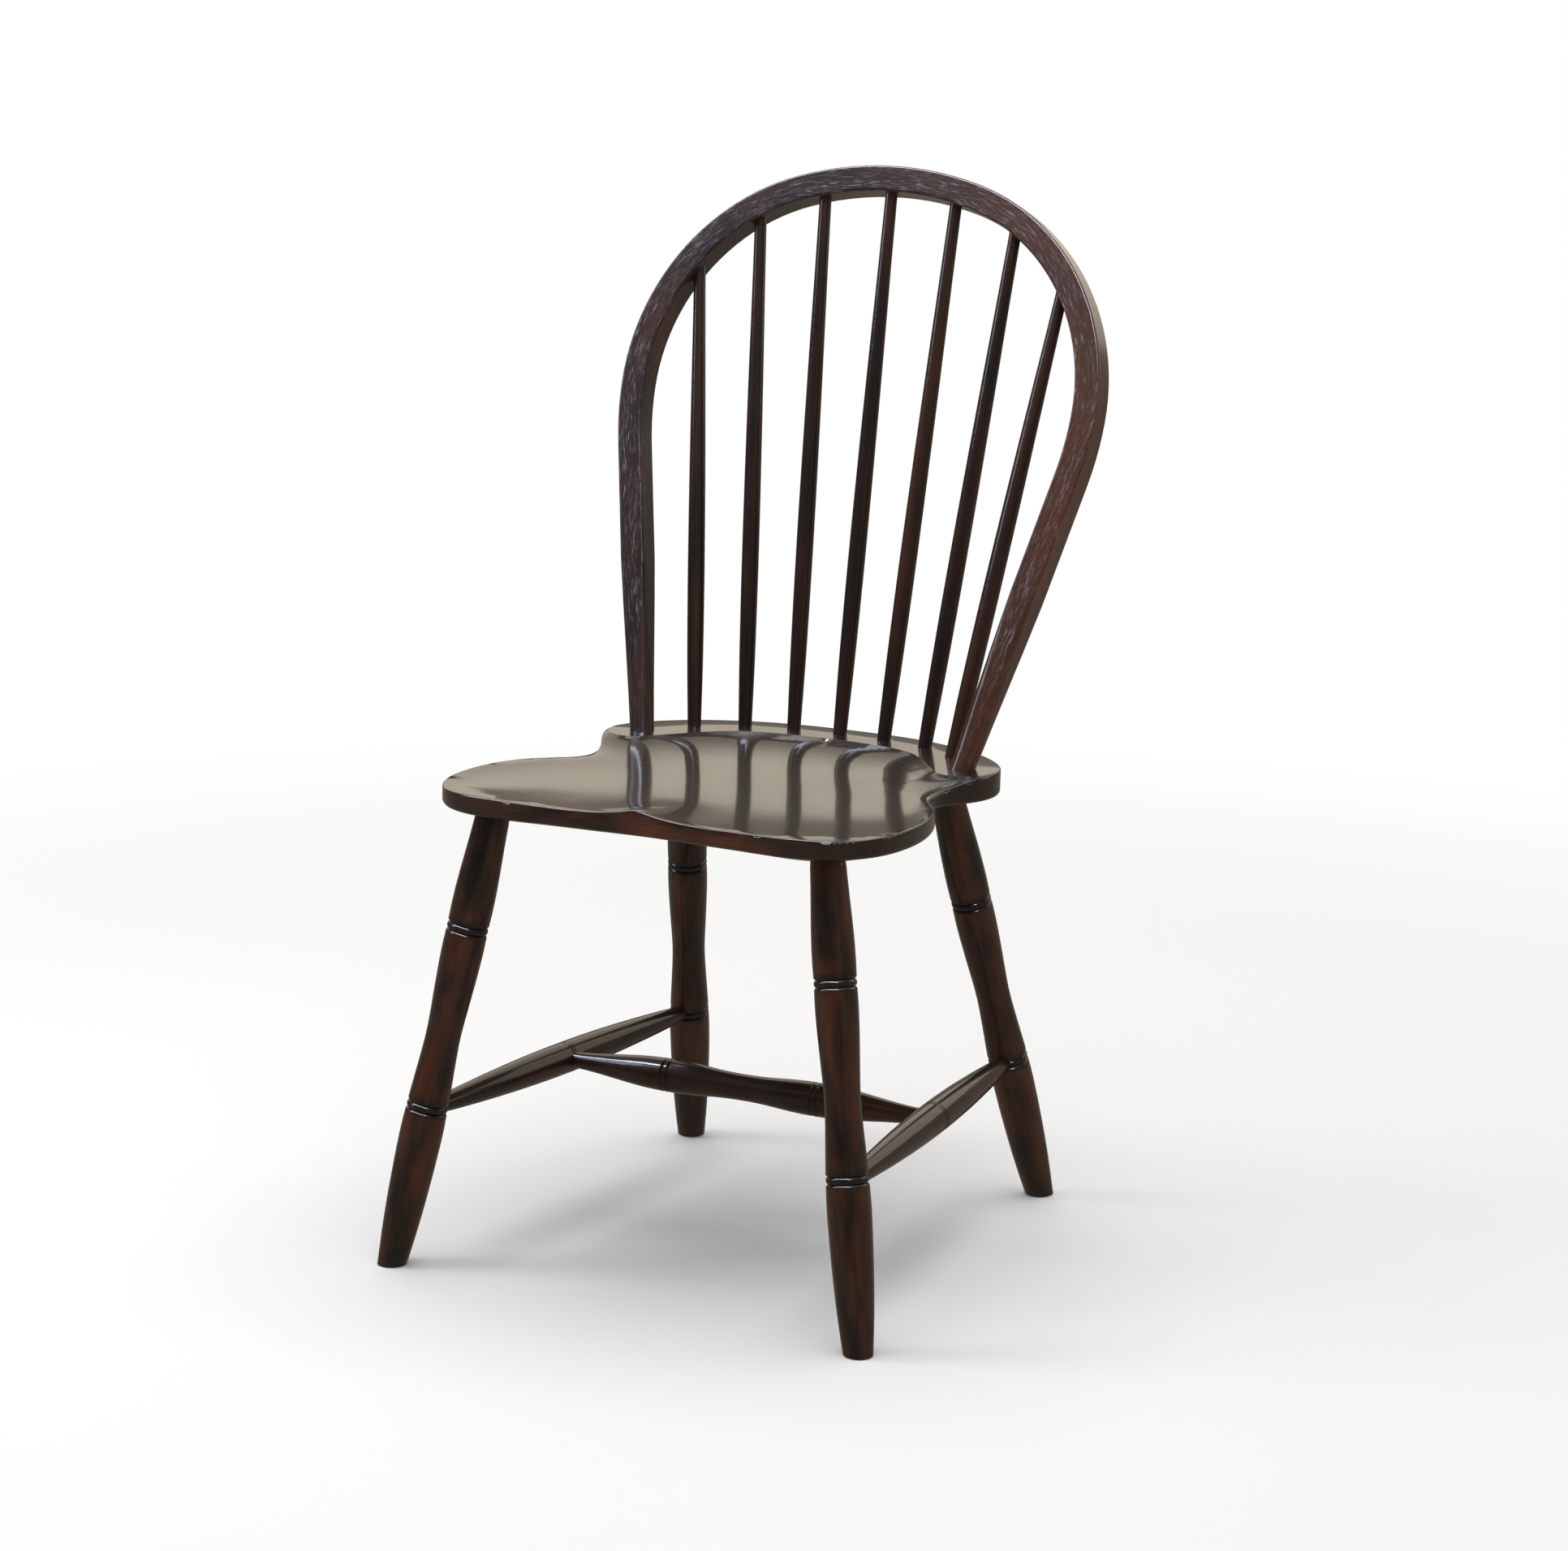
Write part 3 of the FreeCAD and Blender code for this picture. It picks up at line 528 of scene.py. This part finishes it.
def seat_wood():
    """Material for the board: redder at the middle of its front, fading to painted shade at its corners,
    and nearly black elsewhere.
    """
    material, shader, chair_place = new_material("seat_wood")
    x, y, z = chair_place.parts()
    grainwise = vector(y, z * 1.4, x)
    clouds = stained_clouds(grainwise, 3.2, 36, 7.1)
    years = year_lines(grainwise, (0.04, -0.35), 0.0065, 2.0)
    streaks = fibres(grainwise, 5.0)
    # Painted shade: the red fades towards both corners of the front edge.
    middle = (x / HALF_FRONT).math("ABSOLUTE").smooth(1.0, 0.4)
    front = y.smooth(FRONT_BAND_START, FRONT_BAND_FULL) * middle
    red = clouds * (0.7 + streaks * 0.5) * (0.8 + years * 0.2) * (0.25 + front * 0.85)
    colour = red.mix(dark_wood(streaks, years), STAIN_RED)
    roughness = 0.30 + streaks * 0.12 + clouds * 0.05
    sanding = noise(grainwise, SANDING_PER_METRE, 1.0)
    normal = bump(streaks * 0.1 + sanding, SANDING_DEPTH)
    lacquer(shader, colour, roughness, normal, coat_roughness=0.09, index=SEAT_LACQUER_INDEX)
    return material


seat_finish = seat_wood()
dress(nodes["seat"], seat_finish)
print("seat dressed")

# %% [markdown]
# ## A merged copy of the board
# On the real board, sandpaper has rounded the edge between its top and its side, and a thin line of
# light runs along it. The solid model leaves that edge sharp. A bump could fake the round, but only real
# geometry shows it from every side, so a copy of the board gets it. The model's triangles are loose, so
# the copy's are first merged, and an edge stays crisp where the normals of its two faces differed.

# %% Merge the loose triangles
MERGE_GAP = 0.00002
CRISP_ANGLE = radians(4)


def is_crisp(edge, kept):
    """Whether the two faces of an edge had different normals at either of its ends."""
    for vert in edge.verts:
        normals = [loop[kept] for face in edge.link_faces for loop in face.loops if loop.vert == vert]
        if normals[0].angle(normals[1], 0) > CRISP_ANGLE:
            return True
    return False


def merged_copy(piece):
    """A copy of a loose mesh with its points merged and its crisp edges marked."""
    mesh = piece.data
    work = bmesh.new()
    work.from_mesh(mesh)
    kept = work.loops.layers.float_vector.new("kept_normal")
    for face in work.faces:
        for loop in face.loops:
            loop[kept] = mesh.corner_normals[loop.index].vector
    bmesh.ops.remove_doubles(work, verts=work.verts, dist=MERGE_GAP)
    for edge in work.edges:
        edge.smooth = len(edge.link_faces) == 2 and not is_crisp(edge, kept)
    for face in work.faces:
        face.smooth = True
    return work


work = merged_copy(nodes["seat"])
print("board merged to", len(work.verts), "points")

# %% [markdown]
# ## Find the rim
# The rim is the run of sharp edges between an upright side and the top. Holes have such edges as well,
# but they aren't joined to it. So the search starts at the front of the board and goes on from edge to
# edge for as long as they belong to the rim.

# %% Walk along the rim
RIM_ANGLE = radians(38)
SIDE_TILT, TOP_TILT = 0.25, 0.55


def is_rim(edge):
    """Whether an edge joins an upright side to a top, at a sharp enough angle."""
    if len(edge.link_faces) != 2 or edge.calc_face_angle(0) < RIM_ANGLE:
        return False
    side, top = sorted(face.normal.z for face in edge.link_faces)
    return abs(side) < SIDE_TILT and top > TOP_TILT


def rim_run(work):
    """The closed run of rim edges that passes the front of the board."""
    rim = {edge for edge in work.edges if is_rim(edge)}
    start = min(rim, key=lambda edge: edge.verts[0].co.y)
    found, waiting = {start}, [start]
    while waiting:
        for vert in waiting.pop().verts:
            for edge in vert.link_edges:
                if edge in rim and edge not in found:
                    found.add(edge)
                    waiting.append(edge)
    return list(found)


rim = rim_run(work)
print("rim edges", len(rim), "length", round(sum(edge.calc_length() for edge in rim), 3), "m")

# %% [markdown]
# ## Round the rim
# A bevel of three segments with a profile of a half is part of a circle. Its edges are marked smooth
# first, so that light slides over it from the side to the top. The copy then takes the board's place.

# %% The board with its soft rim
RIM_ROUND = 0.0016

for edge in rim:
    edge.smooth = True
bmesh.ops.bevel(work, geom=rim, offset=RIM_ROUND, offset_type="OFFSET", segments=3, profile=0.5,
                affect="EDGES", clamp_overlap=False, material=-1)
board_mesh = bpy.data.meshes.new("seat_board")
work.to_mesh(board_mesh)
work.free()
board_mesh.materials.append(seat_finish)
board = bpy.data.objects.new("seat_board", board_mesh)
scene.collection.objects.link(board)
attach(board, "root")
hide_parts("seat")
print("seat board has", len(board_mesh.polygons), "faces")

# %% [markdown]
# ## The floor
# The floor is a plain pale sheet. A curved studio backdrop could hide the horizon, but its bend would
# show from other sides. Here the sheet is matt close to the chair, where it takes the soft shadow, and
# farther off it turns into even white, so that the horizon is lost against the white room.

# %% Floor
FLOOR_WHITE = (0.955, 0.955, 0.95, 1)
FLOOR_ROUGHNESS = 0.9
FLOOR_REACH = 60.0
FADE_START, FADE_END = 0.7, 2.4


def joined(blend, factor, first, second):
    """Fills a Mix Shader: the second shader shows where the factor is 1."""
    tree = factor.tree
    tree.links.new(factor.socket, blend.inputs[0])
    tree.links.new(first.outputs[0], blend.inputs[1])
    tree.links.new(second.outputs[0], blend.inputs[2])
    return blend.outputs[0]


floor_paper, shader, place = new_material("floor_paper")
shader.inputs["Base Color"].default_value = FLOOR_WHITE
shader.inputs["Roughness"].default_value = FLOOR_ROUGHNESS
shader.inputs["Specular IOR Level"].default_value = 0.0
x, y, z = place.parts()
far = (x * x + y * y).math("SQRT").smooth(FADE_START, FADE_END)
tree = place.tree
white = tree.nodes.new("ShaderNodeEmission")
shown = joined(tree.nodes.new("ShaderNodeMixShader"), far, shader, white)
tree.links.new(shown, tree.nodes["Material Output"].inputs["Surface"])

floor_mesh = bpy.data.meshes.new("floor")
work = bmesh.new()
bmesh.ops.create_grid(work, x_segments=1, y_segments=1, size=FLOOR_REACH)
work.to_mesh(floor_mesh)
work.free()
floor_mesh.materials.append(floor_paper)
floor = bpy.data.objects.new("floor", floor_mesh)
scene.collection.objects.link(floor)
floor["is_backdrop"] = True
print("floor turns white from", FADE_START, "to", FADE_END, "m")

# %% [markdown]
# ## The world
# A white world would light the chair too strongly and wash out the dark wood. So the Light Path node
# tells rays apart: the camera, a mirror and glass see white, and light on the chair is less than half.

# %% World
ROOM_AMBIENT = (0.46, 0.455, 0.45, 1)

world = bpy.data.worlds.new("studio")
scene.world = world
world.use_nodes = True
tree = world.node_tree
ambient = tree.nodes["Background"]
ambient.inputs["Color"].default_value = ROOM_AMBIENT
white = tree.nodes.new("ShaderNodeBackground")
white.inputs["Color"].default_value = (1, 1, 1, 1)
rays = tree.nodes.new("ShaderNodeLightPath")
seen = Value(tree, rays.outputs["Is Camera Ray"])
for kind in ("Is Glossy Ray", "Is Transmission Ray"):
    seen = seen.math("MAXIMUM", Value(tree, rays.outputs[kind]))
shown = joined(tree.nodes.new("ShaderNodeMixShader"), seen, ambient, white)
tree.links.new(shown, tree.nodes["World Output"].inputs["Surface"])
scene.view_settings.view_transform = "Standard"
print("world ready, ambient", ROOM_AMBIENT[:3])

# %% [markdown]
# ## Lamps
# Two soft lamps light the wood: a cool one to the left of the chair, like a window, and a wide one
# overhead, which gives the pale floor its even tone and the chair its soft shadow.
# Every lamp is given the radiance of its face, so its power follows from its size.

# %% Lamps
AIM = Vector((0, 0, 0.5))


def around(azimuth, elevation, distance):
    """A point about the chair: azimuth 0 is in front of it, and 90 to the right as seen from the front."""
    a, e = radians(azimuth), radians(elevation)
    return AIM + Vector((sin(a) * cos(e), -cos(a) * cos(e), sin(e))) * distance


def lamp(name, place, width, height, radiance, colour):
    """A soft rectangular lamp that faces the chair, as bright all over as radiance says."""
    light = bpy.data.lights.new(name, "AREA")
    light.shape = "RECTANGLE"
    light.size, light.size_y = width, height
    light.energy = radiance * pi * width * height
    light.color = colour
    lamp_object = bpy.data.objects.new(name, light)
    scene.collection.objects.link(lamp_object)
    lamp_object.location = place
    lamp_object.rotation_mode = "QUATERNION"
    lamp_object.rotation_quaternion = (lamp_object.location - AIM).to_track_quat("Z", "Y")
    print(name, "lamp of", round(light.energy), "W")


lamp("window", around(-62, 30, 3.2), 1.0, 1.6, 5.0, (0.82, 0.86, 1.0))
lamp("overhead", around(0, 90, 2.8), 3.2, 3.2, 2.2, (1.0, 0.98, 0.95))

# %% [markdown]
# ## The room that the lacquer mirrors
# A lacquered chair shows its room as much as its wood. Dark wood in a white room would look grey, so
# panels that only reflections see stand in for the real room. The seat mirrors a pale beige wall behind
# it, with a dark wainscot below. The other walls, the ceiling and the floor are dark. A bright strip of
# skylight, high up in front, draws thin lines of light on rims, on beads and on the stretchers' tops.

# %% Panels
def glowing_panel(name, work, colour):
    """Makes an evenly glowing panel that only reflections see."""
    mesh = bpy.data.meshes.new(name)
    work.to_mesh(mesh)
    work.free()
    panel = bpy.data.objects.new(name, mesh)
    scene.collection.objects.link(panel)
    material = bpy.data.materials.new(name)
    material.use_nodes = True
    tree = material.node_tree
    glow = tree.nodes.new("ShaderNodeEmission")
    glow.inputs["Color"].default_value = colour
    tree.links.new(glow.outputs[0], tree.nodes["Material Output"].inputs["Surface"])
    mesh.materials.append(material)
    panel.visible_camera = False
    panel.visible_diffuse = False
    panel.visible_shadow = False
    panel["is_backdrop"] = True


def wall(name, azimuth, distance, width, low, high, colour):
    """An upright panel that faces the chair, from a low to a high edge."""
    work = bmesh.new()
    bmesh.ops.create_grid(work, x_segments=1, y_segments=1, size=0.5)
    bmesh.ops.scale(work, vec=(width, high - low, 1), verts=work.verts)
    bmesh.ops.rotate(work, matrix=Matrix.Rotation(pi / 2, 3, "X"), verts=work.verts)
    bmesh.ops.rotate(work, matrix=Matrix.Rotation(radians(azimuth), 3, "Z"), verts=work.verts)
    centre = around(azimuth, 0, distance)
    bmesh.ops.translate(work, vec=(centre.x, centre.y, (low + high) / 2), verts=work.verts)
    glowing_panel(name, work, colour)


def level_panel(name, height, width, colour):
    """A level panel over or under the chair."""
    work = bmesh.new()
    bmesh.ops.create_grid(work, x_segments=1, y_segments=1, size=width / 2)
    bmesh.ops.translate(work, vec=(0, 0, height), verts=work.verts)
    glowing_panel(name, work, colour)


print("panel helpers ready")

# %% [markdown]
# ## Build the room
# The side walls stand twelve metres apart, under a ceiling at five metres. The wall behind the chair is
# nearer, and the wainscot is its lowest metre. The dark floor lies half a millimetre over the pale one.

# %% Room
ROOM_WIDTH, ROOM_HEIGHT = 12.0, 5.0
WAINSCOT_HEIGHT = 1.0

wall("back_wall", 180, 3.0, ROOM_WIDTH, WAINSCOT_HEIGHT, 4.5, (1.0, 0.89, 0.73, 1))
wall("wainscot", 180, 3.01, ROOM_WIDTH, 0.0, WAINSCOT_HEIGHT, (0.17, 0.155, 0.13, 1))
wall("left_wall", -90, ROOM_WIDTH / 2, ROOM_WIDTH, 0.0, ROOM_HEIGHT, (0.10, 0.09, 0.08, 1))
wall("right_wall", 90, ROOM_WIDTH / 2, ROOM_WIDTH, 0.0, ROOM_HEIGHT, (0.17, 0.157, 0.125, 1))
wall("front_wall", 0, ROOM_WIDTH / 2, ROOM_WIDTH, 0.0, ROOM_HEIGHT, (0.06, 0.055, 0.055, 1))
level_panel("ceiling", ROOM_HEIGHT, ROOM_WIDTH, (0.16, 0.15, 0.15, 1))
wall("skylight", -20, 1.6, 6.0, 3.2, 4.9, (24.0, 26.0, 31.0, 1))
level_panel("dark_floor", 0.0005, 2 * ROOM_WIDTH, (0.20, 0.175, 0.145, 1))
print("room is", ROOM_WIDTH, "m wide and", ROOM_HEIGHT, "m high")

# %% Finish
new_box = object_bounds()
for label, box in (("solid model", cad_box), ("finished look", new_box)):
    print(label, [round(v, 4) for v in box[1] - box[0]])
